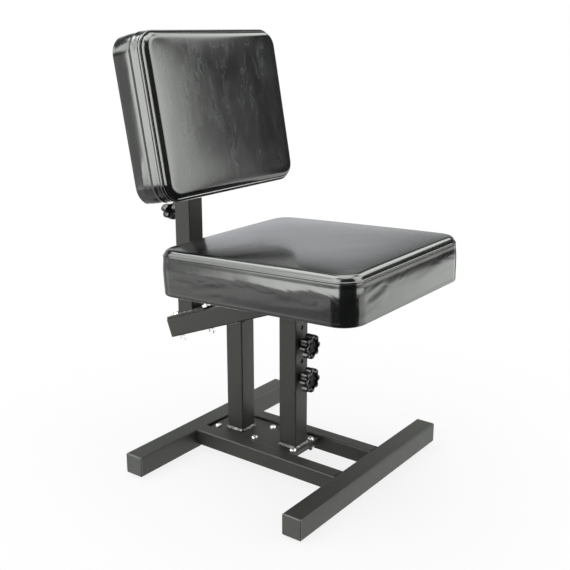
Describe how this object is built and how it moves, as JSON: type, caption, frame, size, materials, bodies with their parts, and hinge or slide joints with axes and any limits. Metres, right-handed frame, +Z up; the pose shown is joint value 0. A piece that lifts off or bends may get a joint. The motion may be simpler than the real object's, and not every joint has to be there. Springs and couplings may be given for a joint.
{
  "type": "adjustable training chair",
  "caption": "Padded training chair on an H-shaped square-tube base, with a height-adjustable seat and backrest locked by star knobs.",
  "frame": {"origin": "middle of the chair's footprint, on the floor", "axes": "+Z up, -Y the way the chair faces, +X to the right seen from the front with +Y away; X = 0 is the plane of symmetry"},
  "size_m": [0.472, 0.5684, 0.8248],
  "materials": {
    "frame_paint": "satin",
    "zinc_steel": "satin",
    "black_plastic": "satin",
    "plywood": "matte",
    "foam": "matte",
    "dust_cloth": "matte",
    "black_vinyl": "gloss"
  },
  "bodies": {
    "frame": {"front_cross_beam": "frame_paint", "rear_cross_beam": "frame_paint", "left_base_rail": "frame_paint", "right_base_rail": "frame_paint", "cross_plate": "frame_paint", "beam_end_plugs": "black_plastic", "floor_glides": "black_plastic", "stand_foot_plate": "frame_paint", "front_post": "frame_paint", "rear_post": "frame_paint", "top_rail": "frame_paint", "rail_end_plug": "black_plastic", "post_foot_welds": "frame_paint", "stand_bolts": "zinc_steel", "stand_washers": "zinc_steel", "stand_nuts": "zinc_steel", "back_foot_plate": "frame_paint", "back_post": "frame_paint", "back_foot_weld": "frame_paint", "back_foot_bolts": "zinc_steel", "back_foot_washers": "zinc_steel", "back_foot_nuts": "zinc_steel", "back_post_nut": "zinc_steel"},
    "seat": {"seat_slide_tube": "frame_paint", "seat_tube_nuts": "zinc_steel", "seat_mount_plate": "frame_paint", "seat_mount_screws": "zinc_steel", "seat_tee_nuts": "zinc_steel", "seat_board": "plywood", "seat_dust_cloth": "dust_cloth", "seat_foam": "foam", "seat_cover": "black_vinyl"},
    "backrest": {"back_slide_tube": "frame_paint", "back_tube_plug": "black_plastic", "back_gussets": "frame_paint", "back_mount_plate": "frame_paint", "back_mount_screws": "zinc_steel", "back_tee_nuts": "zinc_steel", "back_board": "plywood", "back_dust_cloth": "dust_cloth", "back_foam": "foam", "back_cover": "black_vinyl"},
    "seat_knob_upper_stud": {"seat_knob_upper_stud": "zinc_steel"},
    "seat_knob_upper": {"seat_knob_upper": "black_plastic"},
    "seat_knob_lower_stud": {"seat_knob_lower_stud": "zinc_steel"},
    "seat_knob_lower": {"seat_knob_lower": "black_plastic"},
    "back_knob_stud": {"back_knob_stud": "zinc_steel"},
    "back_knob": {"back_knob": "black_plastic"}
  },
  "joints": [
    {"name": "seat_height", "type": "slide", "parent": "frame", "child": "seat", "axis": [0, 0, 1], "range_m": [0, 0.068]},
    {"name": "backrest_height", "type": "slide", "parent": "frame", "child": "backrest", "axis": [0, 0, 1], "range_m": [0, 0.09]},
    {"name": "seat_knob_upper_travel", "type": "slide", "parent": "frame", "child": "seat_knob_upper_stud", "axis": [0, -1, 0], "range_m": [0, 0.00751]},
    {"name": "seat_knob_upper_turn", "type": "hinge", "parent": "seat_knob_upper_stud", "child": "seat_knob_upper", "pos_m": [0, -0.0528, 0.25], "axis": [0, -1, 0], "range_deg": [0, 2160]},
    {"name": "seat_knob_lower_travel", "type": "slide", "parent": "frame", "child": "seat_knob_lower_stud", "axis": [0, -1, 0], "range_m": [0, 0.00751]},
    {"name": "seat_knob_lower_turn", "type": "hinge", "parent": "seat_knob_lower_stud", "child": "seat_knob_lower", "pos_m": [0, -0.0528, 0.182], "axis": [0, -1, 0], "range_deg": [0, 2160]},
    {"name": "back_knob_travel", "type": "slide", "parent": "frame", "child": "back_knob_stud", "axis": [0, 1, 0], "range_m": [0, 0.00751]},
    {"name": "back_knob_turn", "type": "hinge", "parent": "back_knob_stud", "child": "back_knob", "pos_m": [0, 0.2572, 0.476], "axis": [0, 1, 0], "range_deg": [0, 2160]}
  ],
  "couplings": [
    {"joint": "seat_knob_upper_travel", "follows": "seat_knob_upper_turn", "m_per_rad": 0.00019894},
    {"joint": "seat_knob_lower_travel", "follows": "seat_knob_lower_turn", "m_per_rad": 0.00019894},
    {"joint": "back_knob_travel", "follows": "back_knob_turn", "m_per_rad": 0.00019894}
  ]
}
